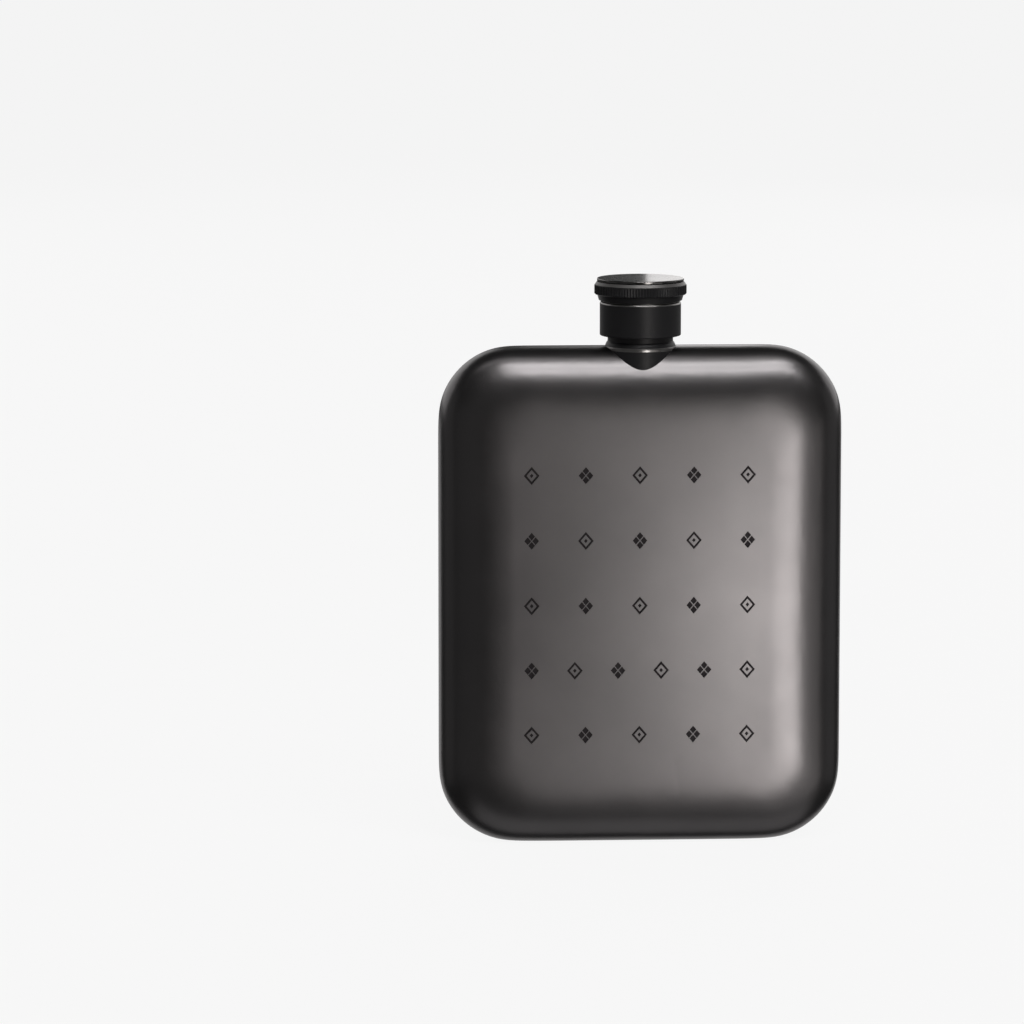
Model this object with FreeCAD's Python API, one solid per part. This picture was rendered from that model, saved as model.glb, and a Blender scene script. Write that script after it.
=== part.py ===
import FreeCAD, Part
import math
import os

os.makedirs("parts", exist_ok=True)

# Hip flask: two drawn stainless shells welded edge to edge, a collar and a threaded
# neck in the shoulder, and a screw cap put together from four pieces.
# Frame: origin at the centre of the flat foot, X across the width, -Y the front, +Z up.

# ---------------------------------------------------------------- driving dimensions, mm
BODY_WIDTH = 95.25        # 3 3/4 in
BODY_HEIGHT = 117.7       # foot to the top of the shoulder
BODY_THICKNESS = 22.4
TOTAL_HEIGHT = 133.6      # to the top of the cap
CORNER_RADIUS = 17.7      # corner of the outline, seen from the front
WALL = 0.7
FOOT_CUT = 0.2            # ground off the foot to make it flat

EDGE_INSET = 15.5         # width of the rounded edge, seen from the front
EDGE_FULLNESS = 2.4       # exponent of the edge's superellipse; 2 is an ellipse
INNER_CORNER = 9.5        # corner radius where the edge runs out into the face
CROWN = 1.2               # rise of the face towards its middle
SIDE_BAND = 0.8           # half width of the straight band beside the seam
FOOT_BAND = 2.6           # the same along the foot, where the flask stands

WELD_WIDTH = 0.5
WELD_ROOT = 0.35          # height of the weld's root bead inside the chamber
WELD_SINK = 0.03          # depth of the ground weld under the shells' skin

# heights from here to the gasket are measured up from the top of the shoulder
PITCH = 2.0               # neck thread, right-handed
BORE_RADIUS = 5.4
THREAD_ROOT = 6.35
THREAD_CREST = 7.0
NECK_TOP = 11.0
LIP_CHAMFER = 0.6
COLLAR_RADIUS = 8.3
COLLAR_NECK_RADIUS = 7.7
COLLAR_DEPTH = 8.4
COLLAR_TOP = 3.0
ROUND_START = -0.7        # the collar is rounded over to its neck between these heights
ROUND_MIDDLE = (8.12, 0.45)
ROUND_END = 1.1

SKIRT_BOTTOM = 2.4
SKIRT_TOP = 10.45
SKIRT_RADIUS = 9.55
SKIRT_BORE = 8.45
SKIRT_ROUND = 0.55        # at the top of the skirt
LIP_ROUND = 0.3           # at its lower edge
GROOVE_RADIUS = 8.95
STEP_BOTTOM = 10.75
STEP_TOP = 12.0
STEP_RADIUS = 10.15
STEP_TAPER = 0.35
KNURL_BOTTOM = 12.1
KNURL_TOP = 15.1
KNURL_RADIUS = 10.85
KNURL_DEPTH = 0.14
KNURL_COUNT = 100
KNURL_CHAMFER = 0.25
KNURL_TOP_CHAMFER = (0.6, 0.85)   # inwards and down
CEILING = 12.6
DISC_RADIUS = 10.2
DISC_THICKNESS = 0.55
DISC_ROUND = 0.2
SEAT_RADIUS = 9.6         # the cap's neck under the top disc

INSERT_BOTTOM = 3.3
INSERT_TOP = 10.8
INSERT_ROOT = 7.2
INSERT_CREST = 6.55
GASKET_THICKNESS = 1.5
GASKET_RADIUS = 8.15
SEAL_GAP = 0.05

MARK_DEPTH = 0.3
MARKS_IN_ROWS = (5, 6, 5, 5, 5)   # from the lowest row up
MARK_SPAN = 50.8          # between the middles of the first and last marks of a row
MARK_MIDDLE = -0.8        # the pattern sits a little left of the middle
MARK_PITCH = 15.4         # between rows
MARK_LOWEST = 26.6        # centre of the lowest row above the foot
MARK_HEIGHT = 4.3
MARK_WIDTH = 3.7
MARK_LINE = 0.5

# ---------------------------------------------------------------- fineness of the shapes
CORNER_STEPS = 6          # control points round one corner of the outline
SIDE_STEPS = 8            # control points along one straight side
EDGE_ROWS = 8             # control rings across the rounded edge
FACE_RINGS = (0.86, 0.7, 0.52, 0.34)
MIDDLE_RINGS = (0.2, 0.1)  # these two rings are level, and close the face

UP = FreeCAD.Vector(0, 0, 1)
FRONT = FreeCAD.Vector(0, -1, 0)


def save(shape, name):
    """Write one piece as the node called name."""
    shape.exportStep("parts/%s.step" % name)


def at_shoulder(height):
    """Height in the frame of a point given above the shoulder."""
    return BODY_HEIGHT + height


def cylinder(radius, bottom, top):
    """Solid cylinder on the neck's axis, between two heights above the shoulder."""
    return Part.makeCylinder(radius, top - bottom,
                             FreeCAD.Vector(0, 0, at_shoulder(bottom)), UP)


def turned(profile):
    """Solid turned about the neck's axis from (radius, height above shoulder) points.

    A point may be a pair of points: the middle and the end of an arc.
    """
    def place(point):
        return FreeCAD.Vector(point[0], 0, at_shoulder(point[1]))

    start = place(profile[0])
    edges = []
    for step in profile[1:] + profile[:1]:
        if isinstance(step[0], tuple):
            end = place(step[1])
            edges.append(Part.Arc(start, place(step[0]), end).toShape())
        else:
            end = place(step)
            edges.append(Part.makeLine(start, end))
        start = end
    return Part.Face(Part.Wire(edges)).revolve(FreeCAD.Vector(0, 0, 0), UP, 360)


def edges_at(shape, radius, height):
    """Circular edges of one radius at one height above the shoulder."""
    found = []
    for edge in shape.Edges:
        if isinstance(edge.Curve, Part.Circle) and abs(edge.Curve.Radius - radius) < 1e-4:
            if abs(edge.Curve.Center.z - at_shoulder(height)) < 1e-4:
                found.append(edge)
    return found


# ---------------------------------------------------------------- body
def outline(half_width, half_height, radius):
    """Control points (x, z) of a rounded rectangle about its centre, from mid-foot."""
    x, z = half_width - radius, half_height - radius
    swell = radius * 3.0 / (2.0 + math.cos(math.pi / 2 / CORNER_STEPS))

    def corner(cx, cz, start):
        points = []
        for step in range(CORNER_STEPS):
            angle = math.radians(start + (step + 0.5) * 90.0 / CORNER_STEPS)
            px = cx + swell * math.cos(angle)
            pz = cz + swell * math.sin(angle)
            points.append((max(-half_width, min(half_width, px)),
                           max(-half_height, min(half_height, pz))))
        return points

    def side(start, end):
        shares = [(step + 0.5) / SIDE_STEPS for step in range(SIDE_STEPS)]
        return [(start[0] + (end[0] - start[0]) * t, start[1] + (end[1] - start[1]) * t)
                for t in shares]

    foot = side((-x, -half_height), (x, -half_height))
    ring = foot[SIDE_STEPS // 2:]
    ring += corner(x, -z, -90) + side((half_width, -z), (half_width, z))
    ring += corner(x, z, 0) + side((x, half_height), (-x, half_height))
    ring += corner(-x, z, 90) + side((-half_width, z), (-half_width, -z))
    ring += corner(-x, -z, 180) + foot[:SIDE_STEPS // 2]
    return ring


OUTLINE_HEIGHT = BODY_HEIGHT + FOOT_CUT
CENTRE_Z = BODY_HEIGHT - OUTLINE_HEIGHT / 2


def crown(x, z):
    """Rise of the face at (x, z) about the outline's centre."""
    return (CROWN * math.cos(math.pi * x / BODY_WIDTH)
            * math.cos(math.pi * z / OUTLINE_HEIGHT))


def band(x, z):
    """Half width of the straight band at a point of the outline."""
    if z > CORNER_RADIUS - OUTLINE_HEIGHT / 2:
        return SIDE_BAND
    reach = (BODY_WIDTH / 2 - abs(x)) / CORNER_RADIUS - 0.4
    reach = max(0.0, min(1.0, reach))
    return SIDE_BAND + (FOOT_BAND - SIDE_BAND) * reach * reach * (3 - 2 * reach)


def pillow_half(shrink):
    """Solid front half of the body, with its outline and face drawn in by shrink."""
    half_width = BODY_WIDTH / 2 - shrink
    half_height = OUTLINE_HEIGHT / 2 - shrink
    radius = CORNER_RADIUS - shrink
    inset = EDGE_INSET - shrink
    level = BODY_THICKNESS / 2 - CROWN - shrink

    rim = outline(half_width, half_height, radius)
    bands = [band(x, z) for x, z in rim]
    rows = []
    for share in (0.0, 0.5, 1.0):
        rows.append([(x, share * wide, z) for (x, z), wide in zip(rim, bands)])
    for step in range(1, EDGE_ROWS):
        turn = math.pi / 2 * step / (EDGE_ROWS - 1)
        drawn_in = inset * (1 - max(0.0, math.cos(turn)) ** (2 / EDGE_FULLNESS))
        risen = math.sin(turn) ** (2 / EDGE_FULLNESS)
        corner = radius - (radius - INNER_CORNER) * drawn_in / inset
        ring = outline(half_width - drawn_in, half_height - drawn_in, corner)
        rows.append([(x, wide + (level - wide) * risen + crown(x, z) * risen ** 2, z)
                     for (x, z), wide in zip(ring, bands)])
    face = outline(half_width - inset, half_height - inset, INNER_CORNER)
    for scale in FACE_RINGS:
        rows.append([(x * scale, level + crown(x * scale, z * scale), z * scale)
                     for x, z in face])
    for scale in MIDDLE_RINGS:
        rows.append([(x * scale, level + CROWN, z * scale) for x, z in face])

    around, across = len(rim), len(rows)
    poles = [[FreeCAD.Vector(row[i][0], -row[i][1], row[i][2] + CENTRE_Z) for row in rows]
             for i in range(around)]
    surface = Part.BSplineSurface()
    surface.buildFromPolesMultsKnots(
        poles, [1] * (around + 1), [4] + [1] * (across - 4) + [4],
        list(range(around + 1)), list(range(across - 2)), True, False, 3, 3)
    seam_plane = Part.Face(Part.Wire([surface.vIso(0).toShape()]))
    middle = Part.Face(Part.Wire([surface.vIso(across - 3).toShape()]))
    shell = Part.makeShell([surface.toShape(), seam_plane, middle])
    shell.sewShape()
    solid = Part.makeSolid(shell)
    if solid.Volume < 0:
        solid.reverse()
    return solid


def slab(near, far):
    """Everything above the foot plane between two distances in front of the seam."""
    return Part.makeBox(2 * BODY_WIDTH, far - near, 2 * BODY_HEIGHT,
                        FreeCAD.Vector(-BODY_WIDTH, -far, 0))


def outline_plate(shrink, half_thickness):
    """Flat plate of the body's outline, drawn in by shrink, centred on the seam."""
    ring = outline(BODY_WIDTH / 2 - shrink, OUTLINE_HEIGHT / 2 - shrink,
                   CORNER_RADIUS - shrink)
    curve = Part.BSplineCurve()
    curve.buildFromPolesMultsKnots(
        [FreeCAD.Vector(x, half_thickness, z + CENTRE_Z) for x, z in ring],
        [1] * (len(ring) + 1), list(range(len(ring) + 1)), True, 3)
    return Part.Face(Part.Wire([curve.toShape()])).extrude(FRONT * 2 * half_thickness)


outer_half = pillow_half(0.0)
inner_half = pillow_half(WALL)
neck_hole = cylinder(COLLAR_RADIUS, -2 * COLLAR_DEPTH, NECK_TOP)
blank = outer_half.cut(inner_half).cut(neck_hole)
blank = blank.common(slab(WELD_WIDTH / 2, BODY_THICKNESS))
back_shell = blank.mirror(FreeCAD.Vector(0, 0, 0), FRONT)

seam_weld = outline_plate(WELD_SINK, WELD_WIDTH / 2)
seam_weld = seam_weld.cut(outline_plate(WALL + WELD_ROOT, WELD_WIDTH))
seam_weld = seam_weld.cut(neck_hole).common(slab(-WELD_WIDTH, WELD_WIDTH))


# ---------------------------------------------------------------- pressed pattern
def lozenge(x, z, width, height, depth):
    """Punch for one lozenge, its flat tip sunk depth into the crowned face."""
    floor = BODY_THICKNESS / 2 - CROWN + crown(x, z - CENTRE_Z) - depth
    corners = [(x, z - height / 2), (x + width / 2, z),
               (x, z + height / 2), (x - width / 2, z)]
    points = [FreeCAD.Vector(px, -floor, pz) for px, pz in corners]
    return Part.Face(Part.makePolygon(points + points[:1])).extrude(FRONT * 2 * depth)


def framed_mark(x, z):
    """An open lozenge with a small solid one in its middle."""
    ratio = MARK_WIDTH / MARK_HEIGHT
    slope = math.hypot(1, ratio)
    inner_height = MARK_HEIGHT - 2 * MARK_LINE * slope / ratio
    ring = lozenge(x, z, MARK_WIDTH, MARK_HEIGHT, MARK_DEPTH)
    ring = ring.cut(lozenge(x, z, inner_height * ratio, inner_height, 2 * MARK_DEPTH))
    dot = lozenge(x, z, MARK_WIDTH / 4, MARK_HEIGHT / 4, MARK_DEPTH)
    return [ring, dot]


def petal_mark(x, z):
    """Four small solid lozenges set in a cross."""
    reach_x, reach_z = MARK_WIDTH / 4, MARK_HEIGHT / 4
    size_x, size_z = MARK_WIDTH / 2 - MARK_LINE / 2, MARK_HEIGHT / 2 - MARK_LINE / 2
    places = [(x, z + reach_z), (x + reach_x, z), (x, z - reach_z), (x - reach_x, z)]
    return [lozenge(px, pz, size_x, size_z, MARK_DEPTH) for px, pz in places]


punches = []
for row, marks in enumerate(MARKS_IN_ROWS):
    for column in range(marks):
        mark_x = MARK_MIDDLE + MARK_SPAN * (column / (marks - 1) - 0.5)
        mark_z = MARK_LOWEST + row * MARK_PITCH
        mark = framed_mark if (row + column) % 2 == 0 else petal_mark
        punches += mark(mark_x, mark_z)
front_shell = blank.cut(punches)

# ---------------------------------------------------------------- neck
neck_collar = turned([
    (THREAD_ROOT, -COLLAR_DEPTH), (COLLAR_RADIUS, -COLLAR_DEPTH),
    (COLLAR_RADIUS, ROUND_START), (ROUND_MIDDLE, (COLLAR_NECK_RADIUS, ROUND_END)),
    (COLLAR_NECK_RADIUS, COLLAR_TOP), (THREAD_ROOT, COLLAR_TOP)])


def thread_ridge(root, crest, start, end):
    """Helical ridge from a root radius to a crest radius, between two heights."""
    sink = 0.25 if crest > root else -0.25
    profile = [(root - sink, -0.62), (crest, -0.25), (crest, 0.25), (root - sink, 0.62)]
    points = [FreeCAD.Vector(r, 0, at_shoulder(start + z)) for r, z in profile]
    path = Part.makeHelix(PITCH, end - start, root)
    path.translate(FreeCAD.Vector(0, 0, at_shoulder(start)))
    return Part.Wire(path.Edges).makePipeShell(
        [Part.makePolygon(points + points[:1])], True, True)


neck_tube = cylinder(THREAD_ROOT, -COLLAR_DEPTH, NECK_TOP)
neck_limits = turned([(0, COLLAR_TOP), (THREAD_CREST, COLLAR_TOP),
                      (THREAD_CREST, NECK_TOP - LIP_CHAMFER),
                      (THREAD_CREST - LIP_CHAMFER, NECK_TOP), (0, NECK_TOP)])
neck_thread = thread_ridge(THREAD_ROOT, THREAD_CREST, COLLAR_TOP - PITCH, NECK_TOP + PITCH)
neck_tube = neck_tube.fuse(neck_thread.common(neck_limits))
neck_tube = neck_tube.cut(cylinder(BORE_RADIUS, -2 * COLLAR_DEPTH, 2 * NECK_TOP))

# ---------------------------------------------------------------- cap
disc_bottom = TOTAL_HEIGHT - BODY_HEIGHT - DISC_THICKNESS
knurl_core = KNURL_RADIUS - KNURL_DEPTH
cap_shell = turned([
    (0, CEILING), (SKIRT_BORE, CEILING), (SKIRT_BORE, SKIRT_BOTTOM),
    (SKIRT_RADIUS, SKIRT_BOTTOM), (SKIRT_RADIUS, SKIRT_TOP),
    (GROOVE_RADIUS, SKIRT_TOP), (GROOVE_RADIUS, STEP_BOTTOM),
    (STEP_RADIUS - STEP_TAPER, STEP_BOTTOM), (STEP_RADIUS, STEP_TOP),
    (SEAT_RADIUS, KNURL_BOTTOM), (SEAT_RADIUS, disc_bottom), (0, disc_bottom)])
cap_shell = cap_shell.makeFillet(SKIRT_ROUND, edges_at(cap_shell, SKIRT_RADIUS, SKIRT_TOP))
cap_shell = cap_shell.makeFillet(LIP_ROUND, edges_at(cap_shell, SKIRT_RADIUS, SKIRT_BOTTOM))

knurl_points = []
for tooth in range(2 * KNURL_COUNT):
    radius = KNURL_RADIUS if tooth % 2 else knurl_core
    angle = math.pi * tooth / KNURL_COUNT
    knurl_points.append(FreeCAD.Vector(radius * math.cos(angle), radius * math.sin(angle),
                                       at_shoulder(KNURL_BOTTOM)))
knurl = Part.Face(Part.makePolygon(knurl_points + knurl_points[:1]))
knurl = knurl.extrude(UP * (KNURL_TOP - KNURL_BOTTOM))
knurl = knurl.common(turned([
    (0, KNURL_BOTTOM), (KNURL_RADIUS - KNURL_CHAMFER, KNURL_BOTTOM),
    (KNURL_RADIUS, KNURL_BOTTOM + KNURL_CHAMFER),
    (KNURL_RADIUS, KNURL_TOP - KNURL_TOP_CHAMFER[1]),
    (KNURL_RADIUS - KNURL_TOP_CHAMFER[0], KNURL_TOP), (0, KNURL_TOP)]))
knurl = knurl.cut(cylinder(SEAT_RADIUS - KNURL_DEPTH, 0, 2 * KNURL_TOP))
cap_shell = cap_shell.fuse(knurl)

cap_top_disc = cylinder(DISC_RADIUS, disc_bottom, disc_bottom + DISC_THICKNESS)
cap_top_disc = cap_top_disc.makeFillet(
    DISC_ROUND, edges_at(cap_top_disc, DISC_RADIUS, disc_bottom + DISC_THICKNESS))

insert_limits = cylinder(SKIRT_BORE, INSERT_BOTTOM, INSERT_TOP)
insert_limits = insert_limits.cut(cylinder(INSERT_CREST, 0, 2 * INSERT_TOP))
insert_thread = thread_ridge(INSERT_ROOT, INSERT_CREST,
                             COLLAR_TOP - PITCH / 2, INSERT_TOP + PITCH)
cap_thread_insert = insert_limits.cut(cylinder(INSERT_ROOT, 0, 2 * INSERT_TOP))
cap_thread_insert = cap_thread_insert.fuse(insert_thread.common(insert_limits))

cap_gasket = cylinder(GASKET_RADIUS, NECK_TOP + SEAL_GAP,
                      NECK_TOP + SEAL_GAP + GASKET_THICKNESS)

pieces = {
    "front_shell": front_shell,
    "back_shell": back_shell,
    "seam_weld": seam_weld,
    "neck_collar": neck_collar,
    "neck_tube": neck_tube,
    "cap_shell": cap_shell,
    "cap_top_disc": cap_top_disc,
    "cap_thread_insert": cap_thread_insert,
    "cap_gasket": cap_gasket,
}
for name, shape in pieces.items():
    save(shape, name)
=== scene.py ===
import math

import bpy
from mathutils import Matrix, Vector


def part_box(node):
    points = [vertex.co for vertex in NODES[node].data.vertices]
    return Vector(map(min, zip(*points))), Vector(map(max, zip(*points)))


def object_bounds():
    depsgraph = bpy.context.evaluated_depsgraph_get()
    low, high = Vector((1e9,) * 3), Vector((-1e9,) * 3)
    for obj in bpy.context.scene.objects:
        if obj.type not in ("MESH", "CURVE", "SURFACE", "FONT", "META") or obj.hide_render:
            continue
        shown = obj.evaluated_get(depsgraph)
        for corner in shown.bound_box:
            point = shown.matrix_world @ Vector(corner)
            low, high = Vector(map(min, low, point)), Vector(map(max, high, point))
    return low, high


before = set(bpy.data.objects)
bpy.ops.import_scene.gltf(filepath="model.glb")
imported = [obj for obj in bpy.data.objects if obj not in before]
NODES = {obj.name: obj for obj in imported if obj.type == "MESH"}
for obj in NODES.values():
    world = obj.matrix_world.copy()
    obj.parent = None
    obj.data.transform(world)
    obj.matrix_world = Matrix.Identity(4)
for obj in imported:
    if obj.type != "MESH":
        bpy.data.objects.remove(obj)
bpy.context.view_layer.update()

# ------------------------------------------------------------------ measures, metres
MM = 0.001
low, high = [Vector(corner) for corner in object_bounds()]
body_low, body_high = [Vector(corner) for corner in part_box("front_shell")]

# rounded edges of cap and collar
skirt_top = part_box("cap_shell")[0][2] + 8.05 * MM
knurl_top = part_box("cap_shell")[0][2] + 12.7 * MM
collar_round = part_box("neck_collar")[1][2] - 3.7 * MM

# crowned face of the front shell, as the CAD part draws it
CROWN = 1.2 * MM
MARK_FLOOR = 0.12 * MM      # deeper than this below the face is a pressed mark
MARK_EDGE = 0.06 * MM
MARKS_LOW = low.z + 22.5 * MM
MARKS_HIGH = low.z + 92 * MM
MARKS_REACH = 29 * MM       # from the middle to either side
MARKS_FADE = 3 * MM         # width over which the face runs into the rest of the shell

# ------------------------------------------------------------------ colours and finishes
BODY_DARK = (0.114, 0.110, 0.112, 1)
BODY_PALE = (0.127, 0.122, 0.124, 1)
BODY_ROUGH = 0.302
BODY_GRAIN = 0.002 * MM
WELD_DARK = (0.085, 0.082, 0.079, 1)
WELD_PALE = (0.11, 0.105, 0.101, 1)
WELD_ROUGH = 0.4
WELD_GRAIN = 0.006 * MM
# colour inside the pressed marks, darker than the coating round them
MARK_DARK = (0.012, 0.011, 0.012, 1)
MARK_PALE = (0.022, 0.020, 0.021, 1)
MARK_ROUGHER = 0.12       # than the coating round it

CAP_COAT = (0.012, 0.012, 0.013, 1)
CAP_RING_PITCH = 0.12 * MM
COLLAR_COAT = (0.011, 0.011, 0.012, 1)
COLLAR_RING_PITCH = 0.15 * MM
COAT_ROUGH = 0.42
COAT_SPECULAR = 0.2
COAT_DEEPEST = 0.8          # darkest share of the coat's own colour
COAT_RINGS = 0.0003 * MM
COAT_GRAIN = 0.001 * MM
# painted highlights: colour, roughness and fade of bright metal bands laid on the rounded edges
HIGHLIGHT_BAND_DARK = (0.20, 0.196, 0.193, 1)
HIGHLIGHT_BAND_PALE = (0.25, 0.245, 0.24, 1)
HIGHLIGHT_BAND_ROUGH = 0.29
HIGHLIGHT_BAND_FADE = 0.1 * MM

DISC_DARK = (0.11, 0.107, 0.105, 1)
DISC_PALE = (0.13, 0.127, 0.125, 1)
DISC_ROUGH = 0.18
DISC_RINGS = 0.0002 * MM
STEEL_DARK = (0.50, 0.49, 0.47, 1)
STEEL_PALE = (0.60, 0.59, 0.57, 1)
STEEL_ROUGH = 0.27
STEEL_RINGS = 0.001 * MM
FINE_RING_PITCH = 0.1 * MM

PLASTIC_DARK = (0.02, 0.02, 0.02, 1)
PLASTIC_PALE = (0.035, 0.035, 0.035, 1)
PLASTIC_ROUGH = 0.55
SEAL_DARK = (0.70, 0.69, 0.65, 1)
SEAL_PALE = (0.78, 0.77, 0.73, 1)
SEAL_ROUGH = 0.6
MOULDED_GRAIN = 0.01 * MM

PAPER_DARK = (0.026, 0.026, 0.026, 1)
PAPER_PALE = (0.030, 0.030, 0.030, 1)
PAPER_ROUGH = 0.9
PAPER_SPECULAR = 0.1
PAPER_GLOW = 0.9

NOISE_LOW = 0.3             # nearly all of a noise texture lies between these
NOISE_HIGH = 0.7


# ------------------------------------------------------------------ node helpers
class Shader:
    """Builds one node material."""

    def __init__(self, name):
        self.material = bpy.data.materials.new(name)
        self.material.use_nodes = True
        self.tree = self.material.node_tree
        self.tree.nodes.clear()
        self.output = self.node("ShaderNodeOutputMaterial")
        self.bsdf = self.node("ShaderNodeBsdfPrincipled")
        self.link(self.bsdf.outputs["BSDF"], self.output.inputs["Surface"])
        self.place = self.node("ShaderNodeTexCoord").outputs["Object"]

    def node(self, kind, **settings):
        made = self.tree.nodes.new(kind)
        for key, value in settings.items():
            setattr(made, key, value)
        return made

    def link(self, source, target):
        self.tree.links.new(source, target)

    def put(self, target, value):
        """Link a socket into target, or set target to a plain value."""
        if isinstance(value, bpy.types.NodeSocket):
            self.link(value, target)
        else:
            target.default_value = value

    def set(self, name, value):
        self.put(self.bsdf.inputs[name], value)

    def math(self, operation, first, second=0.0):
        made = self.node("ShaderNodeMath", operation=operation)
        for socket, value in zip(made.inputs, (first, second)):
            self.put(socket, value)
        return made.outputs[0]

    def split(self):
        """The object's own x, y and z at the shaded point."""
        made = self.node("ShaderNodeSeparateXYZ")
        self.link(self.place, made.inputs[0])
        return made.outputs

    def noise(self, scale, detail=3.0, roughness=0.5):
        made = self.node("ShaderNodeTexNoise")
        self.link(self.place, made.inputs["Vector"])
        made.inputs["Scale"].default_value = scale
        made.inputs["Detail"].default_value = detail
        made.inputs["Roughness"].default_value = roughness
        return made.outputs["Fac"]

    def remap(self, value, low_in, high_in, low_out, high_out, curve="LINEAR"):
        made = self.node("ShaderNodeMapRange", interpolation_type=curve)
        self.link(value, made.inputs["Value"])
        for name, number in (("From Min", low_in), ("From Max", high_in),
                             ("To Min", low_out), ("To Max", high_out)):
            self.put(made.inputs[name], number)
        return made.outputs["Result"]

    def vary(self, noise, mean, spread):
        """A value that wanders with a noise, up to spread above and below its mean."""
        return self.remap(noise, NOISE_LOW, NOISE_HIGH, mean - spread, mean + spread)

    def band(self, value, start, end, soft):
        """1 where value lies between start and end, fading to 0 over soft on both sides."""
        rise = self.remap(value, start - soft, start, 0, 1, "SMOOTHSTEP")
        fall = self.remap(value, end, end + soft, 1, 0, "SMOOTHSTEP")
        return self.math("MULTIPLY", rise, fall)

    def rings(self, value, pitch):
        """Turning marks: a wave that repeats each pitch of value."""
        return self.math("SINE", self.math("MULTIPLY", value, 2 * math.pi / pitch))

    def mix(self, factor, first, second, kind="RGBA"):
        made = self.node("ShaderNodeMix", data_type=kind)
        self.put(made.inputs["Factor"], factor)
        for name, value in (("A", first), ("B", second)):
            socket = next(s for s in made.inputs if s.name == name and s.type == kind)
            self.put(socket, value)
        return next(s for s in made.outputs if s.type == kind)

    def bump(self, height, distance, normal=None):
        made = self.node("ShaderNodeBump")
        self.put(made.inputs["Height"], height)
        made.inputs["Distance"].default_value = distance
        made.inputs["Strength"].default_value = 1.0
        if normal is not None:
            self.link(normal, made.inputs["Normal"])
        return made.outputs["Normal"]


def paint(node, shader):
    for slot in NODES[node].material_slots:
        slot.material = shader.material


# ------------------------------------------------------------------ materials
def body_steel(name, dark, pale, roughness, grain):
    """Satin black coating on bead-blasted steel."""
    shader = Shader(name)
    cloud = shader.noise(38, 4, 0.55)
    smudge = shader.noise(120, 5, 0.6)
    shader.grit = shader.noise(7000, 2, 0.5)
    shader.colour = shader.mix(shader.remap(cloud, 0.35, 0.65, 0, 1), dark, pale)
    shader.rough = shader.math("ADD", shader.vary(smudge, roughness, 0.012),
                               shader.vary(shader.grit, 0, 0.015))
    shader.set("Base Color", shader.colour)
    shader.set("Metallic", 1.0)
    shader.set("Roughness", shader.rough)
    shader.set("Normal", shader.bump(shader.grit, grain))
    return shader


def marked_steel():
    """The body's coating, coloured darker and rougher inside the pressed marks."""
    shader = body_steel("black_steel_marked", BODY_DARK, BODY_PALE, BODY_ROUGH, BODY_GRAIN)
    x, y, z = shader.split()
    along_x = math.pi / (body_high.x - body_low.x)
    along_z = math.pi / (body_high.z - body_low.z)
    middle = (body_low.z + body_high.z) / 2
    turn_x = shader.math("MULTIPLY", x, along_x)
    turn_z = shader.math("MULTIPLY", shader.math("SUBTRACT", z, middle), along_z)
    cos_x, sin_x = shader.math("COSINE", turn_x), shader.math("SINE", turn_x)
    cos_z, sin_z = shader.math("COSINE", turn_z), shader.math("SINE", turn_z)

    # how far the point lies behind the crowned face, and whether it is among the marks
    rise = shader.math("MULTIPLY", shader.math("MULTIPLY", cos_x, cos_z), CROWN)
    depth = shader.math("ADD", shader.math("SUBTRACT", y, body_low.y + CROWN), rise)
    inside = shader.math("MULTIPLY",
                         shader.band(x, -MARKS_REACH, MARKS_REACH, MARKS_FADE),
                         shader.band(z, MARKS_LOW, MARKS_HIGH, MARKS_FADE))

    sunk = shader.remap(depth, MARK_FLOOR - MARK_EDGE, MARK_FLOOR, 0, 1)
    mark = shader.math("MULTIPLY", sunk, shader.math("GREATER_THAN", inside, 0.5))
    # inside the pressed marks the colour is darker and the surface rougher
    mark_colour = shader.mix(shader.noise(900, 3, 0.6), MARK_DARK, MARK_PALE)
    rougher = shader.math("MULTIPLY", mark, MARK_ROUGHER)
    shader.set("Base Color", shader.mix(mark, shader.colour, mark_colour))
    shader.set("Roughness", shader.math("ADD", shader.rough, rougher))

    # the crowned face's own normal, free of the mesh's creases between the marks
    lean_x = shader.math("MULTIPLY", shader.math("MULTIPLY", sin_x, cos_z), CROWN * along_x)
    lean_z = shader.math("MULTIPLY", shader.math("MULTIPLY", cos_x, sin_z), CROWN * along_z)
    face = shader.node("ShaderNodeCombineXYZ")
    shader.put(face.inputs["X"], lean_x)
    shader.put(face.inputs["Y"], -1.0)
    shader.put(face.inputs["Z"], lean_z)
    turned = shader.node("ShaderNodeVectorTransform", vector_type="NORMAL",
                         convert_from="OBJECT", convert_to="WORLD")
    shader.link(face.outputs["Vector"], turned.inputs["Vector"])
    mesh_normal = shader.node("ShaderNodeNewGeometry").outputs["Normal"]
    on_face = shader.math("MULTIPLY", inside,
                          shader.remap(depth, MARK_EDGE / 2, MARK_EDGE, 1, 0))
    smooth = shader.mix(on_face, mesh_normal, turned.outputs["Vector"], "VECTOR")
    shader.set("Normal", shader.bump(shader.grit, BODY_GRAIN, smooth))
    return shader


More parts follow.
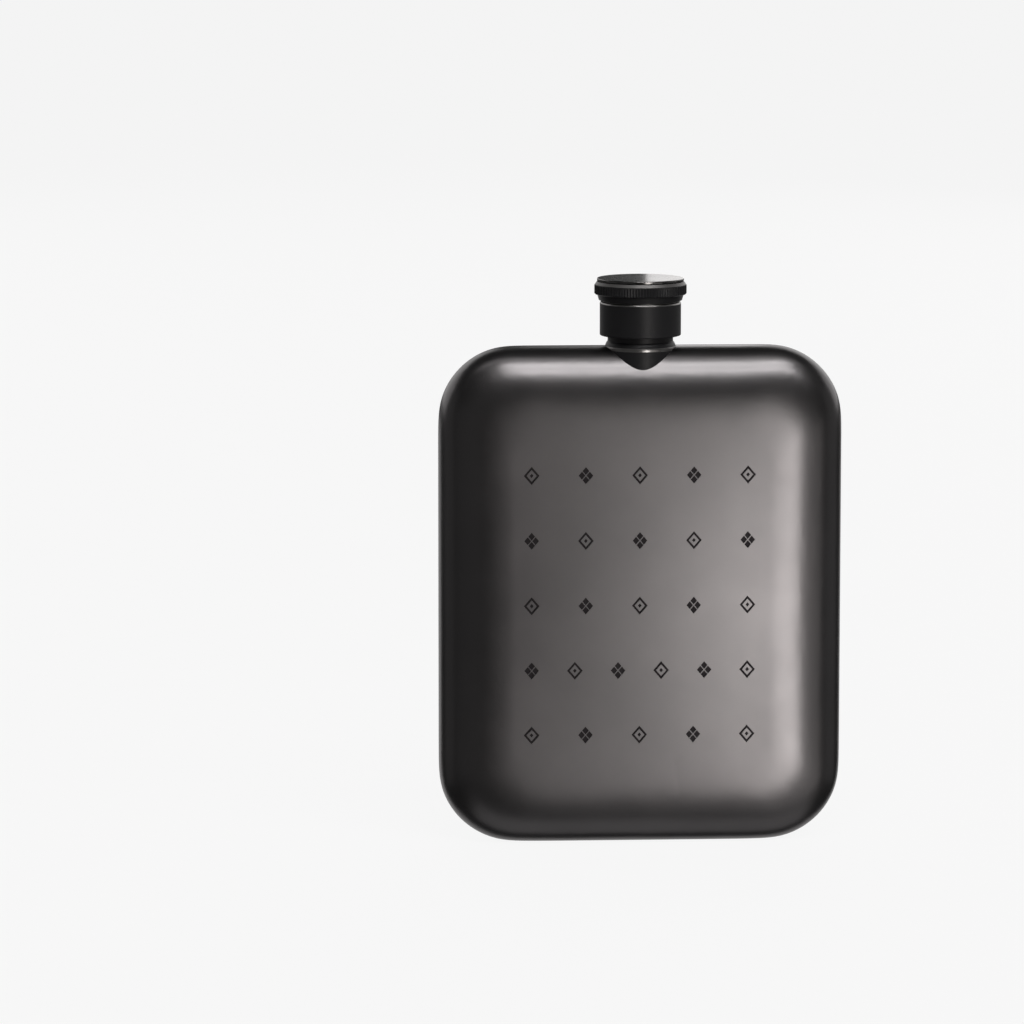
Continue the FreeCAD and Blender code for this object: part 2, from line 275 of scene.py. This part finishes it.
def turned_black(name, base, ring_pitch, edges):
    """Black lacquer on turned steel: faint turning marks, and bright metal bands on rounded
    edges as painted highlights.

    Each edge is the height where the painted highlight band starts, where it ends and how
    strongly it is painted.
    """
    shader = Shader(name)
    z = shader.split()["Z"]
    grit = shader.noise(6000, 2)
    cloud = shader.noise(200, 3)
    deep = tuple(COAT_DEEPEST * c for c in base[:3]) + (1,)
    coat = shader.mix(cloud, deep, base)
    painted_highlight = 0.0
    # painted highlight: bands of bright, smoother metal on the rounded edges
    for start, end, share in edges:
        zone = shader.math("MULTIPLY", shader.band(z, start, end, HIGHLIGHT_BAND_FADE), share)
        painted_highlight = shader.math("MAXIMUM", zone, painted_highlight)
    highlight_colour = shader.mix(cloud, HIGHLIGHT_BAND_DARK, HIGHLIGHT_BAND_PALE)
    smoother = shader.math("MULTIPLY", painted_highlight, COAT_ROUGH - HIGHLIGHT_BAND_ROUGH)
    shader.set("Base Color", shader.mix(painted_highlight, coat, highlight_colour))
    shader.set("Metallic", painted_highlight)
    shader.set("Specular IOR Level", COAT_SPECULAR)
    shader.set("Roughness", shader.math("SUBTRACT", shader.vary(cloud, COAT_ROUGH, 0.02),
                                        smoother))
    rings = shader.bump(shader.rings(z, ring_pitch), COAT_RINGS)
    shader.set("Normal", shader.bump(grit, COAT_GRAIN, rings))
    return shader


def disc_black():
    """Polished black disc with faint rings."""
    shader = Shader("cap_disc_black")
    x, y = shader.split()[:2]
    radius = shader.math("SQRT", shader.math("ADD", shader.math("MULTIPLY", x, x),
                                             shader.math("MULTIPLY", y, y)))
    cloud = shader.noise(160, 3)
    shader.set("Base Color", shader.mix(cloud, DISC_DARK, DISC_PALE))
    shader.set("Metallic", 1.0)
    shader.set("Roughness", shader.vary(cloud, DISC_ROUGH, 0.02))
    shader.set("Normal", shader.bump(shader.rings(radius, FINE_RING_PITCH), DISC_RINGS))
    return shader


def bare_steel():
    """Uncoated turned stainless steel."""
    shader = Shader("turned_steel")
    z = shader.split()["Z"]
    cloud = shader.noise(300, 3)
    shader.set("Base Color", shader.mix(cloud, STEEL_DARK, STEEL_PALE))
    shader.set("Metallic", 1.0)
    shader.set("Roughness", shader.vary(cloud, STEEL_ROUGH, 0.05))
    shader.set("Normal", shader.bump(shader.rings(z, FINE_RING_PITCH), STEEL_RINGS))
    return shader


def moulded(name, dark, pale, roughness):
    """Plain moulded plastic or rubber with a fine grain."""
    shader = Shader(name)
    grain = shader.noise(2500, 3)
    shader.set("Base Color", shader.mix(grain, dark, pale))
    shader.set("Roughness", shader.vary(grain, roughness, 0.05))
    shader.set("Normal", shader.bump(grain, MOULDED_GRAIN))
    return shader


# bands of painted highlight on the skirt's and knurl's top rounds and on the collar's round
cap_black = turned_black("cap_black", CAP_COAT, CAP_RING_PITCH, [
    (skirt_top - 0.5 * MM, skirt_top, 1.0),
    (knurl_top - 0.6 * MM, knurl_top, 0.45)])
collar_black = turned_black("collar_black", COLLAR_COAT, COLLAR_RING_PITCH, [
    (collar_round - 0.1 * MM, collar_round + 0.6 * MM, 1.0)])

paint("front_shell", marked_steel())
paint("back_shell", body_steel("black_steel", BODY_DARK, BODY_PALE, BODY_ROUGH, BODY_GRAIN))
paint("seam_weld", body_steel("weld_black", WELD_DARK, WELD_PALE, WELD_ROUGH, WELD_GRAIN))
paint("neck_collar", collar_black)
paint("neck_tube", bare_steel())
paint("cap_shell", cap_black)
paint("cap_top_disc", disc_black())
paint("cap_thread_insert", moulded("insert_plastic", PLASTIC_DARK, PLASTIC_PALE, PLASTIC_ROUGH))
paint("cap_gasket", moulded("silicone", SEAL_DARK, SEAL_PALE, SEAL_ROUGH))


# ------------------------------------------------------------------ stage
# paper's profile from its middle outwards: radius and height, metres
SWEEP = [(0.0, 0.0), (2.6, 0.0), (3.6, 0.1), (4.4, 0.45), (4.9, 1.1), (5.1, 2.0), (5.1, 6.0)]
SWEEP_SIDES = 64


def make_floor():
    """Seamless pale paper: level round the flask, swept up to a wall behind the lights."""
    points, faces = [], []
    for radius, height in SWEEP:
        for step in range(SWEEP_SIDES):
            angle = 2 * math.pi * step / SWEEP_SIDES
            points.append((radius * math.cos(angle), radius * math.sin(angle),
                           low.z + height))
    for ring in range(len(SWEEP) - 1):
        inner, outer = ring * SWEEP_SIDES, (ring + 1) * SWEEP_SIDES
        for step in range(SWEEP_SIDES):
            after = (step + 1) % SWEEP_SIDES
            faces.append((inner + step, inner + after, outer + after, outer + step))
    mesh = bpy.data.meshes.new("floor")
    mesh.from_pydata(points, [], faces)
    floor = bpy.data.objects.new("floor", mesh)
    bpy.context.scene.collection.objects.link(floor)
    shader = Shader("floor_paper")
    shader.set("Base Color", shader.mix(shader.noise(60, 3), PAPER_DARK, PAPER_PALE))
    shader.set("Roughness", PAPER_ROUGH)
    shader.set("Specular IOR Level", PAPER_SPECULAR)
    shader.set("Emission Color", (1, 1, 1, 1))
    shader.set("Emission Strength", PAPER_GLOW)
    mesh.materials.append(shader.material)
    floor.visible_glossy = False
    floor.visible_diffuse = False
    floor.visible_shadow = False


make_floor()

# ------------------------------------------------------------------ lights
LIGHT_DISTANCE = 1.6
WORLD_STRENGTH = 0.05
WARM = (1.0, 0.958, 0.93)
NEUTRAL = (1.0, 0.985, 0.98)

# name, azimuth to the right of the flask's front, elevation, apparent width and height,
# all in degrees seen from the flask, then radiance and colour
SOFTBOXES = [
    ("key_light", 16.5, -10.5, 14, 18, 9.3, WARM),
    ("right_fill", 42, -16, 28, 30, 0.62, WARM),
    ("low_right_fill", 26, -34, 36, 14, 0.3, NEUTRAL),
    ("right_side_light", 88, 0, 40, 50, 0.16, NEUTRAL),
    ("left_fill", -42, -5, 40, 40, 0.07, NEUTRAL),
    ("left_side_light", -88, 0, 40, 50, 0.1, NEUTRAL),
    ("top_front_light", 15, 45, 41, 8, 10.8, NEUTRAL),
    ("top_light", 15, 60, 41, 8, 10.8, NEUTRAL),
    ("overhead_light", 0, 76, 70, 14, 0.95, NEUTRAL),
    ("table_bounce", 10, -64, 70, 34, 0.4, NEUTRAL),
    ("back_right_light", 140, 18, 68, 32, 1.0, NEUTRAL),
    ("back_left_light", -140, 18, 68, 32, 0.8, NEUTRAL),
    ("back_bounce", 180, -38, 80, 66, 0.55, NEUTRAL),
]

# small pale card close behind the cap, which the right half of the cap's disc mirrors
CARD_WIDE = 30 * MM
CARD_TALL = 34 * MM
CARD_RADIANCE = 1.15
CARD_PLACE = (26 * MM, 120 * MM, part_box("cap_top_disc")[1][2] + 20 * MM)
CARD_TURN = (math.radians(-90), 0, 0)       # upright, shining forwards


def panel(name, wide, tall, radiance, colour, place, turn):
    """Rectangular light of the given radiance, itself unseen by the camera."""
    data = bpy.data.lights.new(name, "AREA")
    data.shape = "RECTANGLE"
    data.size = wide
    data.size_y = tall
    data.energy = radiance * wide * tall * math.pi
    data.color = colour
    lamp = bpy.data.objects.new(name, data)
    lamp.location = place
    lamp.rotation_euler = turn
    lamp.visible_camera = False
    bpy.context.scene.collection.objects.link(lamp)


def softbox(name, azimuth, elevation, wide, tall, radiance, colour):
    """Panel facing the flask's middle, its angles in degrees seen from there."""
    az, el = math.radians(azimuth), math.radians(elevation)
    middle = Vector((0, 0, (low.z + high.z) / 2))
    offset = Vector((math.sin(az) * math.cos(el), -math.cos(az) * math.cos(el), math.sin(el)))
    panel(name,
          2 * LIGHT_DISTANCE * math.tan(math.radians(wide / 2)),
          2 * LIGHT_DISTANCE * math.tan(math.radians(tall / 2)),
          radiance, colour, middle + offset * LIGHT_DISTANCE,
          (-offset).to_track_quat("-Z", "Y").to_euler())


for settings in SOFTBOXES:
    softbox(*settings)
panel("reflector_card", CARD_WIDE, CARD_TALL, CARD_RADIANCE, NEUTRAL, CARD_PLACE, CARD_TURN)

world = bpy.data.worlds.new("studio")
world.use_nodes = True
background = world.node_tree.nodes["Background"]
background.inputs["Color"].default_value = (1, 1, 1, 1)
background.inputs["Strength"].default_value = WORLD_STRENGTH
bpy.context.scene.world = world

# ------------------------------------------------------------------ camera
SENSOR = 36.0               # mm
FOCAL = 198.28125           # mm
FARTHEST = 50               # metres
DISTANCE = 1.32
HEIGHT = 0.26
YAW = 4.5                   # degrees, left of the flask's front
PITCH = 7.85                # degrees, looking down
OFF_AXIS = 1.31             # degrees, turned left past the flask's middle

camera_data = bpy.data.cameras.new("camera")
camera_data.lens = FOCAL
camera_data.sensor_width = SENSOR
camera_data.clip_end = FARTHEST
camera = bpy.data.objects.new("camera", camera_data)
yaw = math.radians(YAW)
camera.location = (-DISTANCE * math.sin(yaw), -DISTANCE * math.cos(yaw), HEIGHT)
camera.rotation_euler = (math.radians(90 - PITCH), 0, -yaw + math.radians(OFF_AXIS))
bpy.context.scene.collection.objects.link(camera)
bpy.context.scene.camera = camera
bpy.context.scene.view_settings.view_transform = "Standard"
